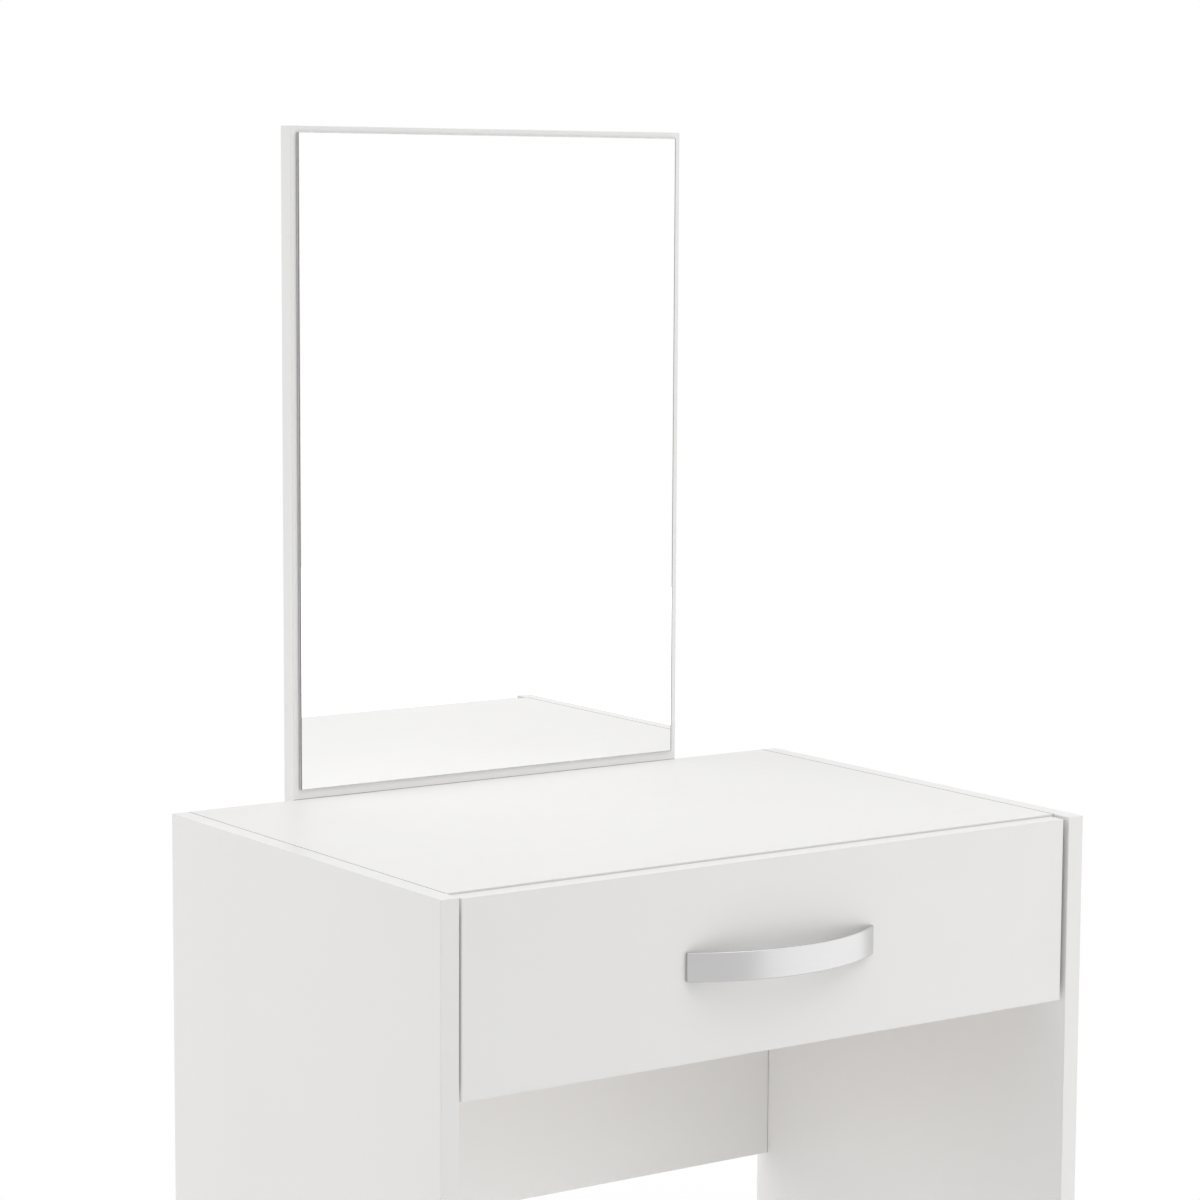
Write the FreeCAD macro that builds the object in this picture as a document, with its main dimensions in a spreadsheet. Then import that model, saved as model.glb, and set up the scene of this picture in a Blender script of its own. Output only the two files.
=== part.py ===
import FreeCAD, Part
import math
import os
import re
from collections import namedtuple

import Sketcher
from FreeCAD import Rotation, Vector

# Dressing table of white faced board: two side panels, a top and a back panel between them,
# one drawer on roller runners, and a mirror on a board that stands behind the table.
# Millimetres. +X right, +Y to the rear, +Z up. The origin is on the floor, in the middle of
# the outer box, which runs from the front of the handle to the rear of the mirror board.

# Driving sizes

sizes = {
    # table
    "table_width": 600,
    "table_depth": 400,
    "table_height": 750,
    "board": 15,
    "edge_radius": 0.5,
    "back_height": 348,
    # floor glides under the side panels
    "glide_height": 4,
    "glide_diameter": 14,
    "glide_chamfer": 1,
    "glide_recess": 1.5,
    "glide_inset": 30,
    "nail_diameter": 2,
    "nail_head": 5,
    "nail_head_height": 1,
    "nail_grip": 14,
    "nail_point": 3,
    # mirror
    "mirror_width": 380,
    "mirror_rise": 540,
    "mirror_drop": 160,
    "glass_thickness": 2,
    "glass_side_margin": 5.5,
    "glass_top_margin": 4.5,
    "glass_foot": 7.5,
    "glass_corner": 1,
    "tape_thickness": 0.5,
    "tape_width": 20,
    "tape_inset": 30,
    "mirror_screw_inset": 60,
    "mirror_screw_edge": 30,
    # drawer front and box
    "front_height": 146,
    "front_recess": 2.5,
    "front_side_gap": 3.5,
    "front_top_gap": 1.5,
    "front_rear_gap": 1,
    "front_skirt": 14.5,
    "box_top_gap": 18,
    "box_rear_gap": 17.5,
    "bottom_thickness": 3,
    "groove_depth": 6,
    "groove_foot": 10,
    "groove_play": 0.2,
    "box_dowel_drop": 18,
    "box_screw_edge": 16,
    "box_screw_grip": 20,
    "bottom_screw_inset": 60,
    "bottom_screw_grip": 12,
    # bow handle
    "handle_length": 175,
    "handle_projection": 29,
    "handle_height": 22,
    "handle_strap": 2.5,
    "handle_foot": 15,
    "handle_foot_height": 11,
    "handle_hole_inset": 7.5,
    "handle_thread": 5.5,
    "handle_edge": 0.6,
    # roller runners
    "runner_space": 12.5,
    "runner_setback": 1,
    "runner_steel": 1.2,
    "runner_bend": 0.6,
    "runner_shelf": 12,
    "runner_flange_room": 1.8,
    "runner_lip_height": 14,
    "runner_lip_room": 1.3,
    "runner_lip_cutback": 26,
    "runner_screw_inset": 40,
    "shelf_screw_cover": 2,
    "stop_inset": 64.5,
    "stop_height": 4,
    "stop_gap": 0.5,
    "roller_diameter": 18,
    "roller_inset": 14,
    "roller_room": 2.3,
    "roller_play": 0.2,
    "roller_crown": 0.8,
    "rolling_gap": 0.3,
    "axle_diameter": 4,
    "axle_clearance": 0.05,
    "axle_head": 7,
    "axle_head_height": 0.8,
    "axle_collar": 6,
    # cam fittings and dowels
    "cam_diameter": 15,
    "cam_cover": 3,
    "cam_inset": 34,
    "cam_mouth": 7.6,
    "cam_heart": 4.5,
    "cam_slot_length": 9,
    "cam_slot_width": 1.6,
    "cam_slot_depth": 2,
    "bolt_inset": 50,
    "bolt_thread": 6,
    "bolt_cover": 4,
    "bolt_bore": 8,
    "bolt_collar": 7.4,
    "bolt_collar_height": 1.5,
    "bolt_shank": 5,
    "bolt_neck": 3.6,
    "bolt_neck_length": 5,
    "bolt_head": 6.4,
    "bolt_head_height": 3,
    "dowel_diameter": 8,
    "dowel_length": 30,
    "dowel_cover": 5,
    "dowel_chamfer": 1,
    "dowel_offset": 32,
    "back_dowel_inset": 100,
    # screws
    "fit_clearance": 0.1,
    "screw_diameter": 4,
    "screw_point": 3,
    "screw_head": 7.5,
    "screw_head_height": 1.2,
    "screw_cover": 3,
    "sunk_head": 8.4,
    "bottom_screw_diameter": 3,
    "bottom_screw_head": 6,
    "handle_screw_head": 8,
    "handle_screw_head_height": 2.4,
    "handle_screw_spare": 0.5,
}

doc = FreeCAD.newDocument("dressing_table")
sheet = doc.addObject("Spreadsheet::Sheet", "sizes")
for row, (alias, value) in enumerate(sizes.items(), start=1):
    sheet.set(f"A{row}", alias)
    sheet.set(f"B{row}", str(value))
    sheet.setAlias(f"B{row}", alias)
doc.recompute()

# Sizes and places worked out from the driving ones, in the table's own frame

inner_width = "(table_width - 2 * board)"
panel_inside = f"({inner_width} / 2)"
side_height = "(table_height - glide_height)"
front_y = "((handle_projection - front_recess - table_depth - board) / 2)"
rear_y = f"({front_y} + table_depth)"
drawer_face_y = f"({front_y} + front_recess)"
box_y = f"({drawer_face_y} + board)"
top_depth = "(table_depth - front_recess - board - front_rear_gap)"
top_y = f"({rear_y} - {top_depth})"
back_y = f"({rear_y} - board)"
top_z = "(table_height - board)"
back_z = f"({top_z} - back_height)"

glass_width = "(mirror_width - 2 * glass_side_margin)"
glass_height = "(mirror_rise - glass_top_margin - glass_foot)"
glass_y = f"({rear_y} - tape_thickness - glass_thickness)"
glass_z = "(table_height + glass_foot)"

front_width = f"({inner_width} - 2 * front_side_gap)"
front_z = "(table_height - front_top_gap - front_height)"
box_width = f"({inner_width} - 2 * runner_space)"
box_inside = f"({box_width} - 2 * board)"
box_depth = "(table_depth - front_recess - 2 * board - box_rear_gap)"
box_rear_y = f"({box_y} + {box_depth})"
box_z = f"({front_z} + front_skirt)"
box_height = "(front_height + front_top_gap - board - box_top_gap - front_skirt)"
box_top_z = f"({box_z} + {box_height})"
floor_width = f"({box_inside} + 2 * groove_depth - 2 * groove_play)"
floor_depth = f"({box_depth} + groove_depth - groove_play)"
floor_z = f"({box_z} + groove_foot)"
groove_top_z = f"({floor_z} + bottom_thickness + groove_play)"
box_back_z = f"({floor_z} + bottom_thickness)"
handle_z = f"({front_z} + front_height / 2)"

runner_y = f"({box_y} + runner_setback)"
runner_length = f"({box_depth} - 2 * runner_setback)"
lip_z = f"({box_z} + runner_lip_height)"
roller_radius = "(roller_diameter / 2)"
roller_width = "(runner_space - 2 * runner_steel - 2 * roller_room)"
roller_z = f"({lip_z} - rolling_gap - {roller_radius})"
roller_x = f"({panel_inside} - runner_steel - roller_room)"
cabinet_roller_y = f"({runner_y} + roller_inset)"
drawer_roller_y = f"({runner_y} + {runner_length} - roller_inset)"
channel_height = "(roller_diameter + 2 * rolling_gap + 3 * runner_steel + runner_lip_room)"
channel_z = f"({roller_z} - {roller_radius} - rolling_gap - runner_steel)"
channel_reach = "(runner_space - runner_steel - runner_flange_room)"
lip_reach = "(runner_space - 2 * runner_steel - runner_flange_room)"

cam_depth = "(board - cam_cover)"
bolt_grip = "(board - bolt_cover)"
dowel_grip = "(board - dowel_cover)"
screw_grip = "(board - screw_cover)"
shelf_grip = "(groove_foot - shelf_screw_cover)"
shelf_bend = "(edge_radius - fit_clearance)"

# Sketches, features and holes

to_right, to_rear, to_top = Vector(1, 0, 0), Vector(0, 1, 0), Vector(0, 0, 1)
tolerance = 1e-4
Block = namedtuple("Block", "body corner span")


def tied(text):
    """An expression in which each size name points at its cell."""
    return re.sub(r"[a-z_]+", lambda word: f"sizes.{word[0]}" if word[0] in sizes else word[0], text)


def value(text):
    """The number that an expression gives with the sizes in the sheet."""
    return float(sheet.evalExpression(tied(text)))


def bind(thing, where, text):
    thing.setExpression(where, tied(text))


def place(thing, x, y, z):
    for axis, text in zip("xyz", (x, y, z)):
        bind(thing, f"Placement.Base.{axis}", text)


def new_body(name):
    body = doc.addObject("PartDesign::Body", name)
    body.Label = name
    return body


def new_sketch(body, role, level="0"):
    """A sketch on one of the body's own planes, moved along that plane's normal by level."""
    sketch = body.newObject("Sketcher::SketchObject", "sketch")
    sketch.AttachmentSupport = [(next(p for p in body.Origin.OriginFeatures if p.Role == role), "")]
    sketch.MapMode = "FlatFace"
    bind(sketch, "AttachmentOffset.Base.z", level)
    return sketch


def dimension(sketch, text, kind, *where):
    """A sized constraint that follows an expression."""
    number = sketch.addConstraint(Sketcher.Constraint(kind, *where, value(text)))
    bind(sketch, f"Constraints[{number}]", text)


def pin_point(sketch, line, end, x, y):
    """Ties one point of a sketch to its distances from the sketch's origin."""
    for kind, axis, text in (("DistanceX", -2, x), ("DistanceY", -1, y)):
        if text == "0":
            sketch.addConstraint(Sketcher.Constraint("PointOnObject", line, end, axis))
        else:
            dimension(sketch, text, kind, -1, 1, line, end)


def point_at(x, y):
    return Vector(value(x), value(y))


def polygon(sketch, corners):
    """Closed straight lines, with each corner tied to its own sizes."""
    points = [point_at(x, y) for x, y in corners]
    lines = [sketch.addGeometry(Part.LineSegment(a, b)) for a, b in zip(points, points[1:] + points[:1])]
    for (x, y), line, following in zip(corners, lines, lines[1:] + lines[:1]):
        sketch.addConstraint(Sketcher.Constraint("Coincident", line, 2, following, 1))
        pin_point(sketch, line, 1, x, y)


def rectangle(sketch, low, high):
    polygon(sketch, [low, (high[0], low[1]), high, (low[0], high[1])])


def circles(sketch, centres, diameter):
    for x, y in centres:
        number = sketch.addGeometry(Part.Circle(point_at(x, y), to_top, value(diameter) / 2))
        pin_point(sketch, number, 3, x, y)
        dimension(sketch, diameter, "Diameter", number)


def pad(body, sketch, length, backwards=False):
    feature = body.newObject("PartDesign::Pad", "pad")
    feature.Profile = sketch
    feature.Reversed = backwards
    bind(feature, "Length", length)
    return feature


def pocket(body, sketch, depth, backwards=False):
    feature = body.newObject("PartDesign::Pocket", "pocket")
    feature.Profile = sketch
    feature.Reversed = backwards
    bind(feature, "Length", depth)
    return feature


def revolve(body, corners):
    """Turns a profile of radius and height pairs round the body's Z axis."""
    sketch = new_sketch(body, "XZ_Plane")
    polygon(sketch, corners)
    feature = body.newObject("PartDesign::Revolution", "revolution")
    feature.Profile = sketch
    feature.ReferenceAxis = (sketch, ["V_Axis"])
    feature.Angle = 360
    return feature


def dress(kind, body, feature, size_name, size, picked):
    """A fillet or chamfer on the edges of a feature that picked says yes to."""
    doc.recompute()
    names = [f"Edge{k}" for k, edge in enumerate(feature.Shape.Edges, start=1) if picked(edge)]
    trim = body.newObject(f"PartDesign::{kind}", kind.lower())
    trim.Base = (feature, names)
    bind(trim, size_name, size)
    return trim


def round_edges(body, feature, radius, picked):
    return dress("Fillet", body, feature, "Radius", radius, picked)


def runs_along(edge, direction):
    ends = [vertex.Point for vertex in edge.Vertexes]
    return len(ends) == 2 and (ends[1] - ends[0]).cross(direction).Length < tolerance


def close(a, b):
    return abs(a - b) < tolerance


def at_corners(corners):
    """Picks the edges that run to the rear from some corners of a folded section."""
    spots = [point_at(x, z) for x, z in corners]

    def picked(edge):
        middle = edge.CenterOfMass
        return runs_along(edge, to_rear) and any(close(middle.x, s.x) and close(middle.z, s.y) for s in spots)

    return picked


def panel(name, corner, span):
    """A flat board with slightly rounded edges, with its low corner at corner."""
    body = new_body(name)
    outline = new_sketch(body, "XY_Plane")
    rectangle(outline, ("0", "0"), (span[0], span[1]))
    slab = pad(body, outline, span[2])
    round_edges(body, slab, "edge_radius", lambda edge: True)
    place(body, *corner)
    return Block(body, corner, span)


def on_face(block, face, inset="0"):
    """A sketch on one face of a block, or inset from it, with its two axes and the way in."""
    width, depth, height = block.span
    role, level, axes, backwards = {
        "left": ("YZ_Plane", inset, (1, 2), True),
        "right": ("YZ_Plane", f"{width} - {inset}", (1, 2), False),
        "front": ("XZ_Plane", f"-({inset})", (0, 2), False),
        "rear": ("XZ_Plane", f"-({depth} - {inset})", (0, 2), True),
        "bottom": ("XY_Plane", inset, (0, 1), True),
        "top": ("XY_Plane", f"{height} - {inset}", (0, 1), False),
    }[face]
    return new_sketch(block.body, role, level), axes, backwards


def local(block, spot, axes):
    return tuple(f"({spot[a]}) - ({block.corner[a]})" for a in axes)


def drill(block, face, spots, diameter, depth, inset="0"):
    """Round holes into one face of a block, at places given in the table's own frame."""
    sketch, axes, backwards = on_face(block, face, inset)
    circles(sketch, [local(block, spot, axes) for spot in spots], diameter)
    return pocket(block.body, sketch, depth, backwards)


def cut_slot(block, face, low, high, depth):
    """A rectangular cut into one face of a block, between two places in the table's own frame."""
    sketch, axes, backwards = on_face(block, face)
    rectangle(sketch, local(block, low, axes), local(block, high, axes))
    return pocket(block.body, sketch, depth, backwards)


def mirrored(name, source):
    """The right-hand twin of a left-hand piece."""
    twin = doc.addObject("Part::Mirroring", name)
    twin.Label = name
    twin.Source = source
    twin.Normal = to_right
    return twin


def both_sides(spots):
    """Left-hand places, and then their right-hand twins."""
    return spots + [(f"-({x})", y, z) for x, y, z in spots]


def facing(x_to, z_to):
    """The turn that sends a fitting's own X and Z axes the given ways."""
    return Rotation(x_to, z_to.cross(x_to), z_to, "ZXY")


def group(name, fitting, spots, turns):
    """Copies of one fitting, each a separate solid, at their places and turned their ways."""
    copies = []
    for spot, turn in zip(spots, turns, strict=True):
        copy = doc.addObject("App::Link", f"{name}_copy")
        copy.LinkedObject = fitting
        copy.Placement.Rotation = turn
        place(copy, *spot)
        copies.append(copy)
    gathered = doc.addObject("Part::Compound", name)
    gathered.Label = name
    gathered.Links = copies
    return gathered


# Where the fittings of the carcass sit; left-hand places have a negative x

panel_face = f"-{panel_inside}"
cam_x = f"-({panel_inside} - cam_inset)"
top_mid_z = "(table_height - board / 2)"
back_mid_y = f"({rear_y} - board / 2)"
mirror_screw_x = "-(mirror_width / 2 - mirror_screw_inset)"
glide_x = "-(table_width - board) / 2"
web_screw_z = f"({lip_z} - screw_diameter / 2)"

top_bolts = [
    (panel_face, f"{top_y} + bolt_inset", top_mid_z),
    (panel_face, f"{rear_y} - bolt_inset", top_mid_z),
]
top_dowels = [
    (panel_face, f"{top_y} + bolt_inset + dowel_offset", top_mid_z),
    (panel_face, f"{rear_y} - bolt_inset - dowel_offset", top_mid_z),
]
back_bolts = [
    (panel_face, back_mid_y, f"{back_z} + bolt_inset"),
    (panel_face, back_mid_y, f"{top_z} - bolt_inset"),
]
back_dowels = [
    (panel_face, back_mid_y, f"{back_z} + bolt_inset + dowel_offset"),
    (panel_face, back_mid_y, f"{top_z} - bolt_inset - dowel_offset"),
]
top_cams = [(cam_x, y, top_z) for x, y, z in top_bolts]
back_cams = [(cam_x, rear_y, z) for x, y, z in back_bolts]
upright_dowels = both_sides([(f"-({panel_inside} - back_dowel_inset)", back_mid_y, top_z)])
glides = [
    (glide_x, f"{front_y} + glide_inset", "glide_height"),
    (glide_x, f"{rear_y} - glide_inset", "glide_height"),
]
mirror_screws = both_sides([
    (mirror_screw_x, f"{rear_y} + board", "table_height - mirror_drop + mirror_screw_edge"),
    (mirror_screw_x, f"{rear_y} + board", f"{top_z} - mirror_screw_edge"),
])
runner_screw_y = [
    f"{runner_y} + runner_screw_inset",
    f"{runner_y} + {runner_length} / 2",
    f"{runner_y} + {runner_length} - runner_screw_inset",
]
web_screws = [(panel_face, y, web_screw_z) for y in runner_screw_y]
cabinet_axle = (panel_face, cabinet_roller_y, roller_z)

# Where the fittings of the drawer sit

side_outer_x = f"-({box_width} / 2)"
side_mid_x = f"-({box_width} / 2 - board / 2)"
side_inner_x = f"-({box_inside} / 2)"
back_screw_y = f"{box_rear_y} - board / 2"
outer_floor_screw_x = f"({box_inside} / 2 - bottom_screw_inset)"

box_bolts = [(side_mid_x, box_y, f"{box_z} + {box_height} / 2")]
box_cams = [(side_outer_x, f"{box_y} + cam_inset", f"{box_z} + {box_height} / 2")]
box_dowels = [(side_mid_x, box_y, f"{box_top_z} - box_dowel_drop")]
box_screws = [
    (side_outer_x, back_screw_y, f"{box_back_z} + box_screw_edge"),
    (side_outer_x, back_screw_y, f"{box_top_z} - box_screw_edge"),
]
floor_screws = [(x, back_screw_y, floor_z) for x in (f"-{outer_floor_screw_x}", "0", outer_floor_screw_x)]
shelf_screws = [(side_mid_x, y, f"{box_z} - runner_steel") for y in runner_screw_y]
drawer_axle = (side_outer_x, drawer_roller_y, roller_z)
handle_screws = both_sides([("-(handle_length / 2 - handle_hole_inset)", box_y, handle_z)])

bolt_hole = "bolt_thread + 2 * fit_clearance"
dowel_hole = "dowel_diameter + 2 * fit_clearance"
screw_hole = "screw_diameter + 2 * fit_clearance"
floor_screw_hole = "bottom_screw_diameter + 2 * fit_clearance"
axle_hole = "axle_diameter + 2 * axle_clearance"
dowel_rest = f"dowel_length - {dowel_grip} + fit_clearance"

# Side panels

left_side = panel(
    "left_side_panel",
    ("-table_width / 2", front_y, "glide_height"),
    ("board", "table_depth", side_height),
)
drill(left_side, "right", top_bolts + back_bolts, bolt_hole, f"{bolt_grip} + fit_clearance")
drill(left_side, "right", top_dowels + back_dowels, dowel_hole, f"{dowel_grip} + fit_clearance")
drill(left_side, "right", web_screws, screw_hole, f"{screw_grip} + fit_clearance")
drill(left_side, "bottom", glides, "nail_diameter + 2 * fit_clearance", "nail_grip + fit_clearance")
right_side = mirrored("right_side_panel", left_side.body)

# Top panel

top = panel("top_panel", (panel_face, top_y, top_z), (inner_width, top_depth, "board"))
for end in ("left", "right"):
    drill(top, end, top_bolts, "bolt_bore", "cam_inset")
    drill(top, end, top_dowels, dowel_hole, dowel_rest)
drill(top, "bottom", both_sides(top_cams), "cam_diameter", cam_depth)
drill(top, "bottom", upright_dowels, dowel_hole, f"{dowel_grip} + fit_clearance")

# Back panel

back = panel("back_panel", (panel_face, back_y, back_z), (inner_width, "board", "back_height"))
for end in ("left", "right"):
    drill(back, end, back_bolts, "bolt_bore", "cam_inset")
    drill(back, end, back_dowels, dowel_hole, dowel_rest)
drill(back, "rear", both_sides(back_cams), "cam_diameter", cam_depth)
drill(back, "rear", mirror_screws, screw_hole, f"{screw_grip} + fit_clearance")
drill(back, "top", upright_dowels, dowel_hole, dowel_rest)

# Mirror board, with its screw holes countersunk in the rear face

mirror_board = panel(
    "mirror_board",
    ("-mirror_width / 2", rear_y, "table_height - mirror_drop"),
    ("mirror_width", "board", "mirror_rise + mirror_drop"),
)
mirror_holes = drill(mirror_board, "rear", mirror_screws, screw_hole, "board")
dress(
    "Chamfer",
    mirror_board.body,
    mirror_holes,
    "Size",
    "(sunk_head - screw_diameter) / 2",
    lambda edge: len(edge.Vertexes) == 1 and close(edge.CenterOfMass.y, value("board")),
)

# Mirror glass with rounded corners, and the tape strips behind it

glass = new_body("mirror_glass")
glass_outline = new_sketch(glass, "XZ_Plane")
rectangle(glass_outline, ("0", "0"), (glass_width, glass_height))
glass_sheet = pad(glass, glass_outline, "glass_thickness", True)
round_edges(glass, glass_sheet, "glass_corner", lambda edge: runs_along(edge, to_rear))
place(glass, f"-{glass_width} / 2", glass_y, glass_z)

tape = new_body("tape_strip_pattern")
tape_outline = new_sketch(tape, "XZ_Plane")
rectangle(tape_outline, ("0", "0"), ("tape_width", f"{glass_height} - 2 * tape_inset"))
pad(tape, tape_outline, "tape_thickness", True)
outer_tape_x = f"({glass_width} / 2 - tape_inset)"
tape_spots = [
    (x, f"{rear_y} - tape_thickness", f"{glass_z} + tape_inset")
    for x in (f"-{outer_tape_x}", "-tape_width / 2", f"{outer_tape_x} - tape_width")
]
tape_strips = group("mirror_tape_strips", tape, tape_spots, [Rotation()] * 3)

# Drawer front, with a groove for the bottom's front edge

drawer_front = panel(
    "drawer_front",
    (f"-{front_width} / 2", drawer_face_y, front_z),
    (front_width, "board", "front_height"),
)
drill(drawer_front, "rear", both_sides(box_bolts), bolt_hole, f"{bolt_grip} + fit_clearance")
drill(drawer_front, "rear", both_sides(box_dowels), dowel_hole, f"{dowel_grip} + fit_clearance")
drill(drawer_front, "rear", handle_screws, screw_hole, "board")
cut_slot(
    drawer_front,
    "rear",
    (f"-({floor_width} / 2 + groove_play)", box_y, floor_z),
    (f"{floor_width} / 2 + groove_play", box_y, groove_top_z),
    "groove_depth",
)

# Drawer sides, grooved for the bottom

left_box_side = panel("drawer_left_side", (side_outer_x, box_y, box_z), ("board", box_depth, box_height))
drill(left_box_side, "front", box_bolts, "bolt_bore", "cam_inset")
drill(left_box_side, "front", box_dowels, dowel_hole, dowel_rest)
drill(left_box_side, "left", box_cams, "cam_diameter", cam_depth)
drill(left_box_side, "left", box_screws, screw_hole, "board")
drill(left_box_side, "bottom", shelf_screws, screw_hole, f"{shelf_grip} + fit_clearance")
cut_slot(
    left_box_side,
    "right",
    (side_inner_x, box_y, floor_z),
    (side_inner_x, box_rear_y, groove_top_z),
    "groove_depth",
)
right_box_side = mirrored("drawer_right_side", left_box_side.body)

# Drawer back, which stands on the bottom

box_back = panel(
    "drawer_back",
    (side_inner_x, f"{box_rear_y} - board", box_back_z),
    (box_inside, "board", f"({box_top_z} - {box_back_z})"),
)
for end in ("left", "right"):
    drill(box_back, end, box_screws, screw_hole, "box_screw_grip + fit_clearance")
drill(box_back, "bottom", floor_screws, floor_screw_hole, "bottom_screw_grip + fit_clearance")

# Drawer bottom, a thin sheet

box_floor = Block(
    new_body("drawer_bottom"),
    (f"-{floor_width} / 2", f"{box_rear_y} - {floor_depth}", floor_z),
    (floor_width, floor_depth, "bottom_thickness"),
)
floor_outline = new_sketch(box_floor.body, "XY_Plane")
rectangle(floor_outline, ("0", "0"), (floor_width, floor_depth))
pad(box_floor.body, floor_outline, "bottom_thickness")
place(box_floor.body, *box_floor.corner)
drill(box_floor, "bottom", floor_screws, floor_screw_hole, "bottom_thickness")

# Bow handle: a strap bent to an arc, whose ends rest on the drawer's face. Behind each end is a
# lower foot for the screw. Its own origin is at the middle of the bow's front.

strap_sag = "(handle_projection - handle_strap)"
strap_radius = f"(handle_length ^ 2 / (8 * {strap_sag}) + {strap_sag} / 2)"
strap_middle = f"({strap_radius} - handle_strap / 2)"
inner_radius = f"({strap_radius} - handle_strap)"
end_x = "(handle_length / 2)"
heel_x = f"sqrt({inner_radius} ^ 2 - ({strap_radius} - handle_projection) ^ 2)"
foot_x = f"({end_x} - handle_foot)"

handle = Block(
    new_body("bow_handle"),
    ("0", f"{drawer_face_y} - handle_projection", handle_z),
    ("handle_length", "handle_projection", "handle_height"),
)
bow = new_sketch(handle.body, "XY_Plane", "-handle_height / 2")
outer_arc, inner_arc = 0, 1
for radius, reach in ((strap_radius, end_x), (inner_radius, heel_x)):
    swing = math.asin(value(reach) / value(radius))
    ring = Part.Circle(point_at("0", strap_radius), to_top, value(radius))
    bow.addGeometry(Part.ArcOfCircle(ring, -math.pi / 2 - swing, -math.pi / 2 + swing))
heels = []
for way, arc_end in (("-", 1), ("", 2)):
    outer_end = point_at(way + end_x, strap_sag)
    rear_end = point_at(way + end_x, "handle_projection")
    heel_end = point_at(way + heel_x, "handle_projection")
    end_face = bow.addGeometry(Part.LineSegment(outer_end, rear_end))
    heel = bow.addGeometry(Part.LineSegment(rear_end, heel_end))
    bow.addConstraint([
        Sketcher.Constraint("Coincident", outer_arc, arc_end, end_face, 1),
        Sketcher.Constraint("Coincident", end_face, 2, heel, 1),
        Sketcher.Constraint("Coincident", heel, 2, inner_arc, arc_end),
        Sketcher.Constraint("Vertical", end_face),
        Sketcher.Constraint("Horizontal", heel),
    ])
    heels.append(heel)
bow.addConstraint([
    Sketcher.Constraint("PointOnObject", outer_arc, 3, -2),
    Sketcher.Constraint("Coincident", inner_arc, 3, outer_arc, 3),
    Sketcher.Constraint("PointOnObject", -1, 1, outer_arc),
    Sketcher.Constraint("Symmetric", heels[0], 1, heels[1], 1, -2),
])
dimension(bow, "handle_length", "DistanceX", heels[0], 1, heels[1], 1)
dimension(bow, "handle_projection", "DistanceY", -1, 1, heels[1], 1)
dimension(bow, strap_radius, "Radius", outer_arc)
dimension(bow, inner_radius, "Radius", inner_arc)


def shows(edge):
    """Picks the edges along the bow's front and those of its end faces."""
    at_end = close(abs(edge.CenterOfMass.x), value(end_x))
    return not runs_along(edge, to_top) and (edge.BoundBox.YMin < tolerance or at_end)


bow_pad = pad(handle.body, bow, "handle_height")
round_edges(handle.body, bow_pad, "handle_edge", shows)
feet = new_sketch(handle.body, "XY_Plane", "-handle_foot_height / 2")
for way in ("-", ""):
    polygon(feet, [
        (way + foot_x, "handle_projection"),
        (way + foot_x, f"{strap_radius} - sqrt({strap_middle} ^ 2 - {foot_x} ^ 2)"),
        (way + heel_x, f"{strap_radius} - sqrt({strap_middle} ^ 2 - {heel_x} ^ 2)"),
        (way + heel_x, "handle_projection"),
    ])
pad(handle.body, feet, "handle_foot_height")
drill(handle, "rear", handle_screws, screw_hole, "handle_thread")
place(handle.body, *handle.corner)

# Cabinet runner: a steel channel on the side panel, with a hole for its roller's axle near the
# front and two upright tabs that stop the drawer's roller at the ends of its run

cabinet_runner = Block(
    new_body("cabinet_left_runner"),
    (panel_face, runner_y, channel_z),
    (channel_reach, runner_length, channel_height),
)
channel = new_sketch(cabinet_runner.body, "XZ_Plane")
polygon(channel, [
    ("0", "0"),
    (channel_reach, "0"),
    (channel_reach, "runner_steel"),
    ("runner_steel", "runner_steel"),
    ("runner_steel", f"{channel_height} - runner_steel"),
    (channel_reach, f"{channel_height} - runner_steel"),
    (channel_reach, channel_height),
    ("0", channel_height),
])
folded = pad(cabinet_runner.body, channel, runner_length, True)
inner_bends = [("runner_steel", "runner_steel"), ("runner_steel", f"{channel_height} - runner_steel")]
outer_bends = [("0", "0"), ("0", channel_height)]
for radius, bends in (("runner_bend", inner_bends), ("runner_bend + runner_steel", outer_bends)):
    folded = round_edges(cabinet_runner.body, folded, radius, at_corners(bends))
for tab_y in (
    "stop_inset - runner_steel",
    f"{runner_length} - roller_inset + {roller_radius} + stop_gap",
):
    tab = new_sketch(cabinet_runner.body, "XZ_Plane", f"-({tab_y})")
    rectangle(tab, ("2 * runner_steel", "runner_steel / 2"), (channel_reach, "runner_steel + stop_height"))
    pad(cabinet_runner.body, tab, "runner_steel", True)
drill(cabinet_runner, "left", web_screws, screw_hole, "runner_steel")
drill(cabinet_runner, "left", [cabinet_axle], axle_hole, "runner_steel")
place(cabinet_runner.body, *cabinet_runner.corner)
cabinet_right_runner = mirrored("cabinet_right_runner", cabinet_runner.body)

# Drawer runner: a steel strip with a shelf under the drawer side and a lip that rides on the
# cabinet's roller; the lip stops short of the drawer's own roller at the rear

drawer_runner = Block(
    new_body("drawer_left_runner"),
    (f"-({panel_inside} - runner_steel - runner_flange_room)", runner_y, f"{box_z} - runner_steel"),
    (f"{lip_reach} + runner_steel + runner_shelf", runner_length, "(runner_lip_height + 2 * runner_steel)"),
)
strip = new_sketch(drawer_runner.body, "XZ_Plane")
polygon(strip, [
    (lip_reach, "0"),
    (f"{lip_reach} + runner_steel + runner_shelf", "0"),
    (f"{lip_reach} + runner_steel + runner_shelf", "runner_steel"),
    (f"{lip_reach} + runner_steel", "runner_steel"),
    (f"{lip_reach} + runner_steel", "runner_lip_height + 2 * runner_steel"),
    ("0", "runner_lip_height + 2 * runner_steel"),
    ("0", "runner_lip_height + runner_steel"),
    (lip_reach, "runner_lip_height + runner_steel"),
])
folded = pad(drawer_runner.body, strip, runner_length, True)
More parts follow.
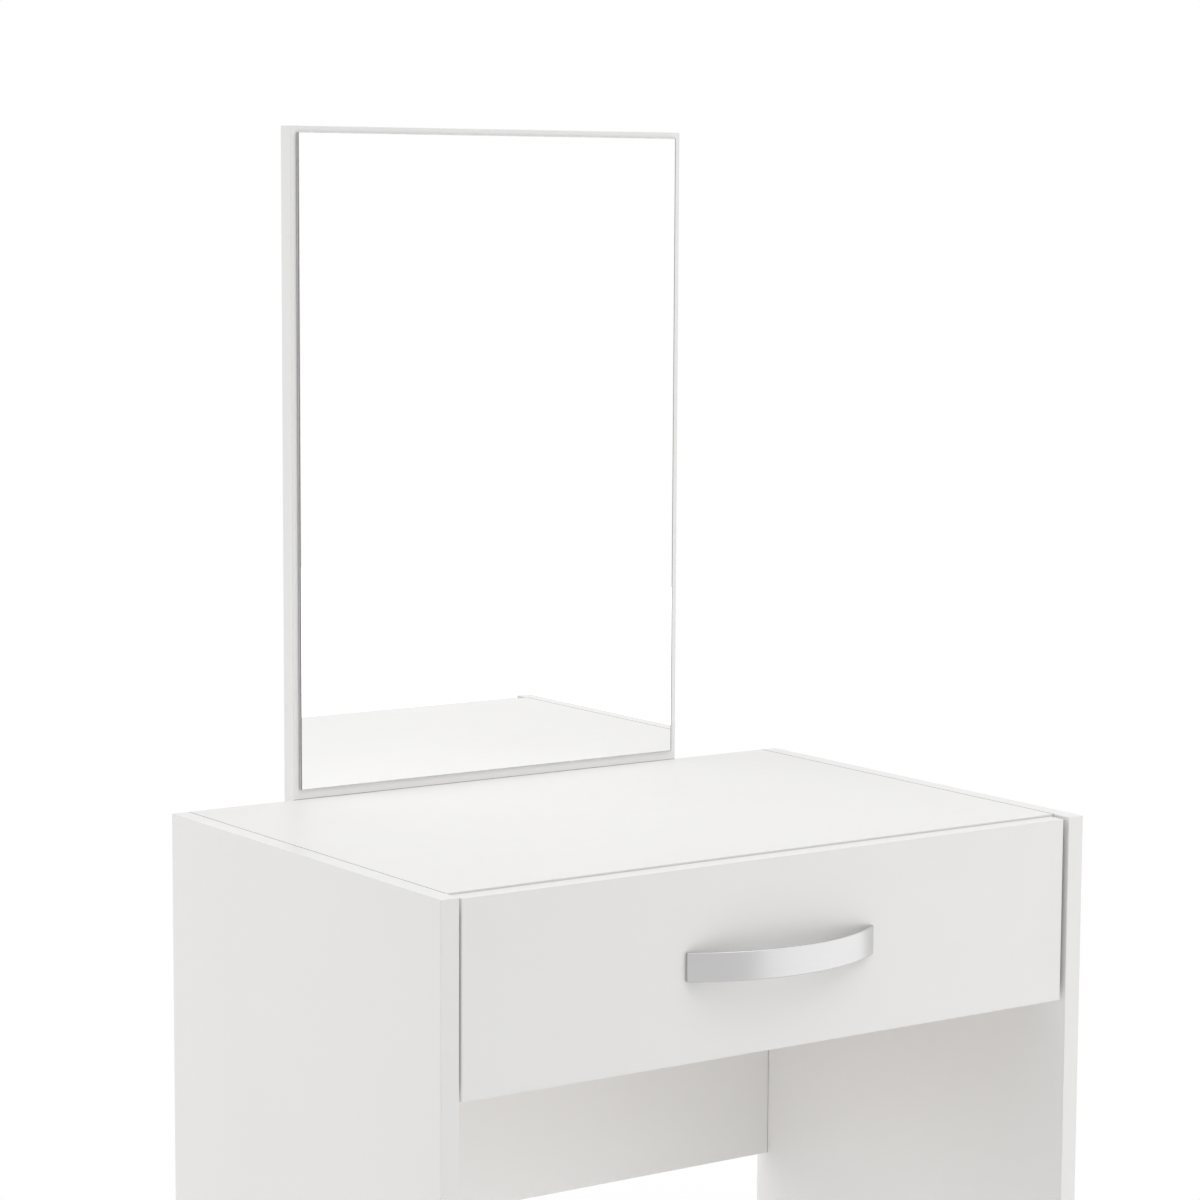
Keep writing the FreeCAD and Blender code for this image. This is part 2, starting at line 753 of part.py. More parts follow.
for radius, bend in (
    (shelf_bend, (f"{lip_reach} + runner_steel", "runner_steel")),
    (f"{shelf_bend} + runner_steel", (lip_reach, "0")),
    ("runner_bend", (lip_reach, "runner_lip_height + runner_steel")),
    ("runner_bend + runner_steel", (f"{lip_reach} + runner_steel", "runner_lip_height + 2 * runner_steel")),
):
    folded = round_edges(drawer_runner.body, folded, radius, at_corners([bend]))
lip_x = drawer_runner.corner[0]
cut_slot(
    drawer_runner,
    "top",
    (lip_x, f"{runner_y} + {runner_length} - runner_lip_cutback", lip_z),
    (f"{lip_x} + {lip_reach}", f"{runner_y} + {runner_length}", lip_z),
    "runner_steel + runner_bend",
)
drill(drawer_runner, "bottom", shelf_screws, screw_hole, "runner_steel")
drill(drawer_runner, "left", [drawer_axle], axle_hole, "runner_steel", lip_reach)
place(drawer_runner.body, *drawer_runner.corner)
drawer_right_runner = mirrored("drawer_right_runner", drawer_runner.body)

# Rollers and the rivets that they turn on

rim = f"{roller_radius} - roller_crown"


def roller(name, y):
    wheel = new_body(name)
    bore = "axle_diameter / 2 + axle_clearance"
    revolve(wheel, [
        (bore, "0"),
        (rim, "0"),
        (roller_radius, "roller_crown"),
        (roller_radius, f"{roller_width} - roller_crown"),
        (rim, roller_width),
        (bore, roller_width),
    ])
    wheel.Placement.Rotation = facing(to_rear, to_right)
    place(wheel, f"-{roller_x}", y, roller_z)
    return wheel


cabinet_left_roller = roller("cabinet_left_roller", cabinet_roller_y)
cabinet_right_roller = mirrored("cabinet_right_roller", cabinet_left_roller)
drawer_left_roller = roller("drawer_left_roller", drawer_roller_y)
drawer_right_roller = mirrored("drawer_right_roller", drawer_left_roller)

collar_end = "(runner_steel + roller_room - roller_play)"
shaft_end = f"({collar_end} + {roller_width} + 2 * roller_play)"
axle = new_body("axle_pattern")
revolve(axle, [
    ("0", "0"),
    ("axle_diameter / 2", "0"),
    ("axle_diameter / 2", "runner_steel"),
    ("axle_collar / 2", "runner_steel"),
    ("axle_collar / 2", collar_end),
    ("axle_diameter / 2", collar_end),
    ("axle_diameter / 2", shaft_end),
    ("axle_head / 2", shaft_end),
    ("axle_head / 2", f"{shaft_end} + axle_head_height"),
    ("0", f"{shaft_end} + axle_head_height"),
])
rightwards, leftwards = facing(to_rear, to_right), facing(to_rear, -to_right)
upwards, downwards = facing(to_right, to_top), facing(to_right, -to_top)
frontwards, rearwards = facing(to_right, -to_rear), facing(to_right, to_rear)
cabinet_axles = group("cabinet_roller_axles", axle, both_sides([cabinet_axle]), [rightwards, leftwards])
drawer_axles = group("drawer_roller_axles", axle, both_sides([drawer_axle]), [leftwards, rightwards])

# Cam fittings: the bolt's thread is in one board, and its head in the cam of the other

bolt = new_body("cam_bolt_pattern")
head_end = "(cam_inset + bolt_head_height / 2)"
head_start = f"({head_end} - bolt_head_height)"
neck_start = f"({head_start} - bolt_neck_length)"
revolve(bolt, [
    ("0", f"-{bolt_grip}"),
    ("bolt_thread / 2", f"-{bolt_grip}"),
    ("bolt_thread / 2", "0"),
    ("bolt_collar / 2", "0"),
    ("bolt_collar / 2", "bolt_collar_height"),
    ("bolt_shank / 2", "bolt_collar_height"),
    ("bolt_shank / 2", neck_start),
    ("bolt_neck / 2", neck_start),
    ("bolt_neck / 2", head_start),
    ("bolt_head / 2", head_start),
    ("bolt_head / 2", head_end),
    ("0", head_end),
])

cam = new_body("cam_disc_pattern")
disc = new_sketch(cam, "XY_Plane")
circles(disc, [("0", "0")], "cam_diameter - 2 * fit_clearance")
pad(cam, disc, cam_depth)
mouth = new_sketch(cam, "XY_Plane", "(board + cam_mouth) / 2")
rectangle(mouth, ("-cam_diameter / 2", "-cam_mouth / 2"), ("cam_heart", "cam_mouth / 2"))
pocket(cam, mouth, "cam_mouth")
for long, short in (("cam_slot_length", "cam_slot_width"), ("cam_slot_width", "cam_slot_length")):
    slot = new_sketch(cam, "XY_Plane")
    rectangle(slot, (f"-{long} / 2", f"-{short} / 2"), (f"{long} / 2", f"{short} / 2"))
    pocket(cam, slot, "cam_slot_depth", True)

carcass_bolts = group(
    "carcass_cam_bolts", bolt, both_sides(top_bolts + back_bolts), [rightwards] * 4 + [leftwards] * 4
)
carcass_cams = group(
    "carcass_cam_discs",
    cam,
    both_sides(top_cams) + both_sides(back_cams),
    [upwards] * 2 + [facing(-to_right, to_top)] * 2 + [frontwards] * 2 + [facing(-to_right, -to_rear)] * 2,
)
drawer_bolts = group("drawer_cam_bolts", bolt, both_sides(box_bolts), [rearwards] * 2)
drawer_cams = group("drawer_cam_discs", cam, both_sides(box_cams), [rightwards, leftwards])

# Dowels

dowel = new_body("dowel_pattern")
dowel_end = f"(dowel_length - {dowel_grip})"
revolve(dowel, [
    ("0", f"-{dowel_grip}"),
    ("dowel_diameter / 2 - dowel_chamfer", f"-{dowel_grip}"),
    ("dowel_diameter / 2", f"-{dowel_grip} + dowel_chamfer"),
    ("dowel_diameter / 2", f"{dowel_end} - dowel_chamfer"),
    ("dowel_diameter / 2 - dowel_chamfer", dowel_end),
    ("0", dowel_end),
])
carcass_dowels = group(
    "carcass_dowels",
    dowel,
    both_sides(top_dowels + back_dowels) + upright_dowels,
    [rightwards] * 4 + [leftwards] * 4 + [downwards] * 2,
)
drawer_dowels = group("drawer_dowels", dowel, both_sides(box_dowels), [rearwards] * 2)

# Screws: each pattern has its seat at height 0 and its point along its own Z axis


def pan_screw(name, diameter, head, head_height, length, point):
    screw = new_body(name)
    revolve(screw, [
        ("0", f"-{head_height}"),
        (f"({head} - {head_height}) / 2", f"-{head_height}"),
        (f"{head} / 2", f"-{head_height} / 2"),
        (f"{head} / 2", "0"),
        (f"{diameter} / 2", "0"),
        (f"{diameter} / 2", f"{length} - {point}"),
        ("0", length),
    ])
    return screw


web_screw = pan_screw(
    "web_screw_pattern", "screw_diameter", "screw_head", "screw_head_height",
    f"(runner_steel + {screw_grip})", "screw_point",
)
shelf_screw = pan_screw(
    "shelf_screw_pattern", "screw_diameter", "screw_head", "screw_head_height",
    f"(runner_steel + {shelf_grip})", "screw_point",
)
box_screw = pan_screw(
    "box_screw_pattern", "screw_diameter", "screw_head", "screw_head_height",
    "(board + box_screw_grip)", "screw_point",
)
floor_screw = pan_screw(
    "floor_screw_pattern", "bottom_screw_diameter", "bottom_screw_head", "screw_head_height",
    "(bottom_thickness + bottom_screw_grip)", "screw_point",
)
handle_screw = pan_screw(
    "handle_screw_pattern", "screw_diameter", "handle_screw_head", "handle_screw_head_height",
    "(board + handle_thread - handle_screw_spare)", "handle_screw_spare",
)
sunk_screw = new_body("sunk_screw_pattern")
sunk_length = f"(board + {screw_grip})"
revolve(sunk_screw, [
    ("0", "0"),
    ("sunk_head / 2", "0"),
    ("screw_diameter / 2", "(sunk_head - screw_diameter) / 2"),
    ("screw_diameter / 2", f"{sunk_length} - screw_point"),
    ("0", sunk_length),
])

web_seats = [(f"{x} + runner_steel", y, z) for x, y, z in web_screws]
screw_groups = [
    group("cabinet_runner_screws", web_screw, both_sides(web_seats), [leftwards] * 3 + [rightwards] * 3),
    group("drawer_runner_screws", shelf_screw, both_sides(shelf_screws), [upwards] * 6),
    group("drawer_back_screws", box_screw, both_sides(box_screws), [rightwards] * 2 + [leftwards] * 2),
    group("drawer_bottom_screws", floor_screw, floor_screws, [upwards] * 3),
    group("handle_screws", handle_screw, handle_screws, [frontwards] * 2),
    group("mirror_board_screws", sunk_screw, mirror_screws, [frontwards] * 4),
]

# Floor glides: a plastic pad under each end of a side panel, and the nail through it

glide = new_body("glide_pad_pattern")
glide_bore = "(nail_diameter / 2 + fit_clearance)"
glide_mouth = "(nail_head / 2 + fit_clearance)"
revolve(glide, [
    (glide_bore, "0"),
    ("glide_diameter / 2", "0"),
    ("glide_diameter / 2", "-glide_height + glide_chamfer"),
    ("glide_diameter / 2 - glide_chamfer", "-glide_height"),
    (glide_mouth, "-glide_height"),
    (glide_mouth, "-glide_height + glide_recess"),
    (glide_bore, "-glide_height + glide_recess"),
])
nail = new_body("glide_nail_pattern")
nail_seat = "(glide_recess - glide_height)"
revolve(nail, [
    ("0", f"{nail_seat} - nail_head_height"),
    ("nail_head / 2", f"{nail_seat} - nail_head_height"),
    ("nail_head / 2", nail_seat),
    ("nail_diameter / 2", nail_seat),
    ("nail_diameter / 2", "nail_grip - nail_point"),
    ("0", "nail_grip"),
])
floor_glides = group("floor_glides", glide, both_sides(glides), [upwards] * 4)
glide_nails = group("glide_nails", nail, both_sides(glides), [upwards] * 4)

# Every sub-part, tested and written to a file of its own

subparts = [
    left_side.body, right_side, top.body, back.body, mirror_board.body, glass, tape_strips,
    drawer_front.body, left_box_side.body, right_box_side, box_back.body, box_floor.body, handle.body,
    cabinet_runner.body, cabinet_right_runner, drawer_runner.body, drawer_right_runner,
    cabinet_left_roller, cabinet_right_roller, drawer_left_roller, drawer_right_roller,
    cabinet_axles, drawer_axles, carcass_bolts, carcass_cams, drawer_bolts, drawer_cams,
    carcass_dowels, drawer_dowels, *screw_groups, floor_glides, glide_nails,
]

doc.recompute()
for thing in doc.Objects:
    if "Invalid" in thing.State or "Error" in thing.State:
        raise RuntimeError(f"{thing.Label} failed: {thing.State}")
    if thing.TypeId == "PartDesign::Pocket" and not thing.Shape.Volume < thing.BaseFeature.Shape.Volume:
        raise RuntimeError(f"{thing.Label} cuts nothing")
for piece in subparts:
    if piece.Shape.isNull() or not piece.Shape.isValid() or not piece.Shape.Solids:
        raise RuntimeError(f"{piece.Label} has no sound solid")

os.makedirs("parts", exist_ok=True)
for piece in subparts:
    piece.Shape.exportStep(f"parts/{piece.Label}.step")
print(f"{len(subparts)} sub-parts, {sum(len(piece.Shape.Solids) for piece in subparts)} solids")
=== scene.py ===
import math

import bmesh
import bpy
import numpy as np
from mathutils import Matrix, Vector


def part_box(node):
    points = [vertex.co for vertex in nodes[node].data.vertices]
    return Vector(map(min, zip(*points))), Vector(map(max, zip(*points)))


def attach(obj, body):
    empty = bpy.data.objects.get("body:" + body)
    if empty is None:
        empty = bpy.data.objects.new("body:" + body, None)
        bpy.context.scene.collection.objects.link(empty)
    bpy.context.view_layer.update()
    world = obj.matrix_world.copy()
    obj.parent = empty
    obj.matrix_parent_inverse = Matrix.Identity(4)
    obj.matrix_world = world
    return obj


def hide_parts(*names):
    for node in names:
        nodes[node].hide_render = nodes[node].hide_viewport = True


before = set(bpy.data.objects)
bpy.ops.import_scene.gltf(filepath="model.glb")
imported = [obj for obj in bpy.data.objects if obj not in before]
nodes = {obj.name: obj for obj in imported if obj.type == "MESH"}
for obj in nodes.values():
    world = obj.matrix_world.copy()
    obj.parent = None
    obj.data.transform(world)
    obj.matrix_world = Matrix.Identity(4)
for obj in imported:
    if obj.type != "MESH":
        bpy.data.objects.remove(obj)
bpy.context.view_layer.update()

mm = 0.001
weldGap = 0.001 * mm
print("frame loaded:", len(nodes), "nodes")


# surface helpers: a patch is a grid of places, rows x columns x 3, closed along its columns

def gridQuads(patch, first, ring):  # each quad joins four neighbours; a ring closes along its rows too
    rows, columns = patch.shape[:2]
    index = first + np.arange(rows * columns).reshape(rows, columns)
    index = np.hstack([index, index[:, :1]])
    if ring:
        index = np.vstack([index, index[:1]])
    corners = [index[:-1, :-1], index[:-1, 1:], index[1:, 1:], index[1:, :-1]]
    return np.stack(corners, axis=-1).reshape(-1, 4)


def surfaceMesh(name, patches, sharp, ring=False, own=None):  # sharp: degrees past which an edge shows
    points = np.concatenate([patch.reshape(-1, 3) for patch in patches])
    starts = np.cumsum([0] + [patch.shape[0] * patch.shape[1] for patch in patches[:-1]])
    quads = np.concatenate([gridQuads(patch, start, ring) for patch, start in zip(patches, starts)])
    mesh = bpy.data.meshes.new(name)
    mesh.from_pydata(points.tolist(), [], quads.tolist())
    if own is not None:  # a place on the piece for its pattern, where Object coordinates would cut across
        mesh.attributes.new("own", "FLOAT_VECTOR", "POINT").data.foreach_set("vector", own.ravel())
    work = bmesh.new()
    work.from_mesh(mesh)
    bmesh.ops.remove_doubles(work, verts=work.verts, dist=weldGap)  # poles and flat steps close here
    bmesh.ops.recalc_face_normals(work, faces=work.faces)
    work.to_mesh(mesh)
    work.free()
    mesh.shade_smooth()
    mesh.set_sharp_from_angle(angle=math.radians(sharp))
    return mesh


def addPiece(name, mesh, materials, body, slot, *replaced):
    for material in materials:
        mesh.materials.append(material)
    piece = bpy.data.objects.new(name, mesh)
    bpy.context.scene.collection.objects.link(piece)
    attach(piece, body)
    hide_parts(*replaced)
    return piece


def nodeBox(name):
    low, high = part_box(name)
    return np.array(low), np.array(high)


def cornerArcs(steps):
    # a rounded rectangle's columns: the sign of each corner's centre, the direction from it, and a lead,
    # which is 1 along the flat beside each arc, so that a column lies on the flat and keeps its shading flat
    angle = np.radians(np.arange(4)[:, None] * 90 + np.concatenate([[0], np.linspace(0, 90, steps), [90]]))
    signs = np.repeat([[1, 1], [-1, 1], [-1, -1], [1, -1]], steps + 2, axis=0)
    lead = np.zeros((4, steps + 2, 2))
    lead[:, 0] = [[0, 1], [1, 0], [0, 1], [1, 0]]
    lead[:, -1] = 1 - lead[:, 0]
    return signs, np.stack([np.cos(angle).ravel(), np.sin(angle).ravel()], axis=-1), lead.reshape(-1, 2)


# shader helpers: each takes the node tree that it adds to

def addNode(tree, kind, **values):
    node = tree.nodes.new("ShaderNode" + kind)
    for key, value in values.items():
        if key in node.inputs:
            node.inputs[key].default_value = value
        else:
            setattr(node, key, value)
    return node


def newFinish(name, **values):
    material = bpy.data.materials.new(name)
    material.use_nodes = True
    tree = material.node_tree
    shader = tree.nodes["Principled BSDF"]
    for key, value in values.items():
        shader.inputs[key].default_value = value
    return material, tree, shader


def grey(level, warm=0.0):  # linear colour of one lightness, a little warmer or cooler
    return (level * (1 + warm), level, level * (1 - warm), 1.0)


def ownPlace(tree, stretch=(1, 1, 1), attribute=None):
    if attribute:
        source = addNode(tree, "Attribute", attribute_name=attribute).outputs["Vector"]
    else:
        source = addNode(tree, "TexCoord").outputs["Object"]
    mapping = addNode(tree, "Mapping", Scale=stretch)
    tree.links.new(source, mapping.inputs["Vector"])
    return mapping.outputs["Vector"]


def noise(tree, place, scale, detail=2.0, roughness=0.5):
    node = addNode(tree, "TexNoise", Scale=scale, Detail=detail, Roughness=roughness)
    tree.links.new(place, node.inputs["Vector"])
    return node.outputs["Fac"]


def combine(tree, operation, first, second=0.0):
    node = addNode(tree, "Math", operation=operation)
    for socket, value in zip(node.inputs, (first, second)):
        if isinstance(value, bpy.types.NodeSocket):
            tree.links.new(value, socket)
        else:
            socket.default_value = value
    return node.outputs["Value"]


def combineVectors(tree, operation, first, second=None):
    node = addNode(tree, "VectorMath", operation=operation)
    for socket, value in zip(node.inputs, (first, second)):
        if isinstance(value, bpy.types.NodeSocket):
            tree.links.new(value, socket)
        elif value is not None:
            socket.default_value = value
    return node.outputs["Vector"]


def split(tree, vector):
    node = addNode(tree, "SeparateXYZ")
    tree.links.new(vector, node.inputs["Vector"])
    return node.outputs


def remap(tree, value, low, high, start=0.3, end=0.7):  # start..end of a pattern becomes low..high
    node = addNode(tree, "MapRange")
    for key, number in (("From Min", start), ("From Max", end), ("To Min", low), ("To Max", high)):
        node.inputs[key].default_value = number
    tree.links.new(value, node.inputs["Value"])
    return node.outputs["Result"]


def blendColours(tree, share, first, second):
    node = addNode(tree, "Mix", data_type="RGBA")
    tree.links.new(share, node.inputs["Factor"])
    for name, colour in (("A_Color", first), ("B_Color", second)):
        target = next(s for s in node.inputs if s.identifier == name)
        if isinstance(colour, bpy.types.NodeSocket):
            tree.links.new(colour, target)
        else:
            target.default_value = colour
    return next(s for s in node.outputs if s.identifier == "Result_Color")


def addBump(tree, shader, height, depth):  # depth in metres
    node = addNode(tree, "Bump", Strength=1.0, Distance=depth)
    tree.links.new(height, node.inputs["Height"])
    tree.links.new(node.outputs["Normal"], shader.inputs["Normal"])


glossFiner = 2.7  # the pattern of a gloss is this much finer than that of its shade


def mottledFinish(name, params, attribute=None):
    # two shades by a slow noise, gloss by a finer one, and a fine bump where a grain is given
    material, tree, shader = newFinish(name, Metallic=params.get("metal", 0.0), IOR=params.get("ior", 1.5))
    place = ownPlace(tree, params.get("stretch", (1, 1, 1)), attribute)
    shade = remap(tree, noise(tree, place, params["spread"], 3), 0, 1)
    tree.links.new(blendColours(tree, shade, params["low"], params["high"]), shader.inputs["Base Color"])
    gloss = remap(tree, noise(tree, place, params["spread"] * glossFiner, 3), *params["rough"])
    tree.links.new(gloss, shader.inputs["Roughness"])
    if "grain" in params:
        addBump(tree, shader, noise(tree, place, params["grain"], 2), params["depth"])
    return material


def dress(material, *names):
    for name in names:
        nodes[name].data.materials.clear()
        nodes[name].data.materials.append(material)


# white faced board: a pearl emboss on the faces, a smoother band on the edges, a fine seam where they meet
# the top panel's joints with the side panels and the mirror board get a painted shadow line
boardSet = {
    "face": grey(0.88, 0.008), "faceLow": grey(0.865, 0.010), "cloud": 6,
    "pearl": 1300, "pearlDepth": 0.00005,
    "band": grey(0.86, 0.008), "bandThickness": 0.9 * mm, "faceStart": 1.1 * mm,
    "faceRough": (0.36, 0.46), "bandRough": (0.28, 0.36), "glossPatch": 90,
    "seam": grey(0.70, 0.02), "seamWidth": 0.12 * mm, "seamShare": 0.6,
    # raw ends: chipboard brown, darker than bare chipboard, partly painted shadow of the joint
    "chipAndJointShade": (0.22, 0.19, 0.16, 1), "chipAndJointShadeLow": (0.10, 0.085, 0.07, 1), "chipSize": 520,
    # joint: a dark grey painted into the joints as their shadow line, with its width and strength
    "joint": grey(0.12, 0.01), "jointShadowWidth": 0.45 * mm, "jointShadowShare": 0.7,
    # how far a normal has turned: to the face, to a raw end, to the arris of the painted joint shadow, to
    # the front
    "faceTurn": (0.6, 0.8), "endTurn": (0.15, 0.3), "arrisTurn": (0.1, 0.2), "frontTurn": (-0.9, -0.6),
}
boards = {  # each board, and the axes of its raw ends, which butt against a neighbour
    "left_side_panel": "", "right_side_panel": "", "mirror_board": "", "drawer_front": "",
    "top_panel": "X", "back_panel": "X", "drawer_back": "X",
    "drawer_left_side": "Y", "drawer_right_side": "Y",
}
# the side panels whose top arris gets the painted joint shadow
jointShadowSides = {"left_side_panel": 1, "right_side_panel": -1}  # which way the top's joint lies in X


def boardFinish(name, rawEnds, params):
    # distance from a board's edge = the smaller, over the two axes in its face, of
    # half size - |place - centre|
    low, high = nodeBox(name)
    thin = int(np.argmin(high - low))
    material, tree, shader = newFinish(f"white_board_{name}", IOR=1.5)
    place = ownPlace(tree)
    fromCentre = combineVectors(tree, "ABSOLUTE", combineVectors(tree, "SUBTRACT", place, (low + high) / 2))
    room = split(tree, combineVectors(tree, "SUBTRACT", (high - low) / 2, fromCentre))
    first, second = [room[axis] for axis in range(3) if axis != thin]
    fromEdge = combine(tree, "MINIMUM", first, second)
    offSeam = combine(tree, "ABSOLUTE", combine(tree, "SUBTRACT", fromEdge, params["bandThickness"]))
    seam = remap(tree, offSeam, params["seamShare"], 0, 0, params["seamWidth"])
    normal = addNode(tree, "TexCoord").outputs["Normal"]
    facing = combineVectors(tree, "ABSOLUTE", normal)
    onFace = remap(tree, split(tree, facing)[thin], 0, 1, *params["faceTurn"])
    offBand = remap(tree, fromEdge, 0, 1, params["bandThickness"], params["faceStart"])
    inside = combine(tree, "MULTIPLY", onFace, offBand)
    cloud = remap(tree, noise(tree, place, params["cloud"], 3), 0, 1)
    face = blendColours(tree, cloud, params["faceLow"], params["face"])
    plain = blendColours(tree, inside, params["band"], face)
    seamOnFace = combine(tree, "MULTIPLY", seam, onFace)
    colour = blendColours(tree, seamOnFace, plain, params["seam"])
    # raw ends: chipboard colour, partly own colour and partly painted shadow where they butt a neighbour
    for axis in rawEnds:
        chips = remap(tree, noise(tree, place, params["chipSize"], 3, 0.7), 0, 1)
        core = blendColours(tree, chips, params["chipAndJointShadeLow"], params["chipAndJointShade"])
        onEnd = remap(tree, split(tree, facing)[axis], 0, 1, *params["endTurn"])
        colour = blendColours(tree, onEnd, colour, core)
    if name in jointShadowSides:  # painted shadow of the joint: a dark line on the rounded edge, up to the top panel's front
        inward = combine(tree, "MULTIPLY", split(tree, normal)["X"], jointShadowSides[name])
        inwardAndUp = combine(tree, "MINIMUM", inward, split(tree, normal)["Z"])
        onArris = remap(tree, inwardAndUp, 0, 1, *params["arrisTurn"])
        topFront = nodeBox("top_panel")[0][1]
        beside = remap(tree, split(tree, place)["Y"], 0, 1, topFront - params["jointShadowWidth"], topFront)
        colour = blendColours(tree, combine(tree, "MULTIPLY", onArris, beside), colour, params["joint"])
    if name == "mirror_board":  # and a painted shadow line on this board's front, where the top meets it
        above = combine(tree, "SUBTRACT", split(tree, place)["Z"], nodeBox("top_panel")[1][2])
        onLine = remap(tree, combine(tree, "ABSOLUTE", above), params["jointShadowShare"], 0,
                       params["jointShadowWidth"] / 2, params["jointShadowWidth"])
        inFront = remap(tree, split(tree, normal)["Y"], 1, 0, *params["frontTurn"])
        colour = blendColours(tree, combine(tree, "MULTIPLY", onLine, inFront), colour, params["joint"])
    tree.links.new(colour, shader.inputs["Base Color"])
    patchy = noise(tree, place, params["glossPatch"], 3)
    faceGloss, bandGloss = [remap(tree, patchy, *params[key]) for key in ("faceRough", "bandRough")]
    share = combine(tree, "MULTIPLY", inside, combine(tree, "SUBTRACT", faceGloss, bandGloss))
    tree.links.new(combine(tree, "ADD", bandGloss, share), shader.inputs["Roughness"])
    pearl = combine(tree, "MULTIPLY", noise(tree, place, params["pearl"], 2), inside)
    addBump(tree, shader, pearl, params["pearlDepth"])
    return material


for name, rawEnds in boards.items():
    dress(boardFinish(name, rawEnds, boardSet), name)
print("boards dressed:", len(boards))


# drawer bottom: white lacquer above, raw brown hardboard below
bottomSet = {"white": grey(0.86, 0.01), "whiteLow": grey(0.83, 0.012), "brown": (0.355, 0.315, 0.275, 1),
             "brownLow": (0.26, 0.227, 0.195, 1), "rough": (0.35, 0.5), "fibre": 420, "depth": 0.00006,
             "mottle": 12, "upTurn": (0.4, 0.6)}


def hardboardFinish(params):
    material, tree, shader = newFinish("white_hardboard", IOR=1.5)
    place = ownPlace(tree)
    fibre = noise(tree, place, params["fibre"], 4, 0.65)
    above = split(tree, addNode(tree, "TexCoord").outputs["Normal"])[2]
    lacquered = remap(tree, above, 0, 1, *params["upTurn"])
    mottle = remap(tree, noise(tree, place, params["mottle"], 3), 0, 1)
    white = blendColours(tree, mottle, params["whiteLow"], params["white"])
    brown = blendColours(tree, remap(tree, fibre, 0, 1), params["brownLow"], params["brown"])
    tree.links.new(blendColours(tree, lacquered, brown, white), shader.inputs["Base Color"])
    tree.links.new(remap(tree, fibre, *params["rough"]), shader.inputs["Roughness"])
    addBump(tree, shader, fibre, params["depth"])
    return material


dress(hardboardFinish(bottomSet), "drawer_bottom")


# mirror pane: a rounded rectangle carried through insets and depths, silvered in front, ground on its edge
# the upright arrises get a darker grey than the level ones: painted shade
paneSet = {"corner": 1.5 * mm, "frontArris": (1.1 * mm, 0.5 * mm), "rearArris": (0.4 * mm, 0.4 * mm),
           "cornerSteps": 6, "sharp": 20, "flatTurn": 0.99, "arrisTurn": 0.3}
paneFinishes = {  # in the order of the mesh's material indices
    "silvered_front": {"metal": 1.0, "low": grey(0.997), "high": grey(1.0), "spread": 3,
                       "rough": (0.0, 0.010)},
    "ground_edge": {"low": (0.62, 0.64, 0.63, 1), "high": (0.72, 0.74, 0.73, 1), "spread": 160,
                    "rough": (0.35, 0.55), "grain": 1500, "depth": 0.00002, "stretch": (1, 6, 1),
                    "ior": 1.52},
    # shaded_ground_arris: a ground arris, its grey darkened as painted shade for the lines at the upright
    # edges
    "shaded_ground_arris": {"low": (0.23, 0.235, 0.234, 1), "high": (0.30, 0.305, 0.304, 1), "spread": 240,
                     "rough": (0.5, 0.7), "grain": 1800, "depth": 0.00002, "ior": 1.52},
    "backing_paint": {"low": (0.24, 0.25, 0.26, 1), "high": (0.30, 0.31, 0.32, 1), "spread": 60,
                      "rough": (0.5, 0.65), "grain": 900, "depth": 0.00002},
}


def mirrorPane(params):
    # place = (sign x (half size - corner) + (corner - inset) x direction) x share, at a depth;
    # share 0 is the middle
    low, high = nodeBox("mirror_glass")
    half, centre = (high - low) / 2, (high + low) / 2
    front, rear = low[1], high[1]
    rows = [
        (0, 0, rear), (1, params["rearArris"][0], rear),
        (1, 0, rear - params["rearArris"][1]), (1, 0, front + params["frontArris"][1]),
        (1, params["frontArris"][0], front), (0, 0, front),
    ]
    share, inset, depth = [np.array(column)[:, None] for column in zip(*rows)]
    signs, direction, lead = cornerArcs(params["cornerSteps"])
    radius = params["corner"]
    flat = [signs[:, k] * (half[axis] - radius - lead[:, k] * radius) + (radius - inset) * direction[:, k]
            for k, axis in ((0, 0), (1, 2))]
    across, upward = centre[0] + share * flat[0], centre[2] + share * flat[1]
    pane = np.stack([across, depth + 0 * across, upward], axis=-1)
    mesh = surfaceMesh("mirror_pane", [pane], params["sharp"])
    normal = np.empty(len(mesh.polygons) * 3)
    mesh.polygons.foreach_get("normal", normal)
    sideways, turned, upturned = normal.reshape(-1, 3).T
    upright = np.abs(sideways) > np.abs(upturned)  # the upright arrises are darker than the level ones: painted shade on a ground edge's grey
    onSides = np.where((np.abs(turned) > params["arrisTurn"]) & upright, 2, 1)
    flatTurn = params["flatTurn"]
    finishIndex = np.where(turned < -flatTurn, 0, np.where(turned > flatTurn, 3, onSides))
    mesh.polygons.foreach_set("material_index", finishIndex.astype(np.int32))
    return mesh


paneMaterials = [mottledFinish(name, params) for name, params in paneFinishes.items()]
addPiece("mirror_pane", mirrorPane(paneSet), paneMaterials, "carcass", "mirror", "mirror_glass")
print("mirror pane made")


# bow handle: a strap with a lower foot behind each end
handleSet = {"strap": 2.5 * mm, "foot": 15.0 * mm, "footHeight": 11.0 * mm, "fillet": 0.6 * mm,
             "tipSteps": 6, "footSteps": 17, "bowSteps": 97, "cornerSteps": 6, "lead": 0.24 * mm,
             "sharp": 40}
satinSet = {"metal": 1.0, "low": grey(0.53), "high": grey(0.55), "spread": 1.0, "rough": (0.28, 0.34),
            "grain": 1.6, "depth": 0.000004, "stretch": (25, 2600, 2600)}


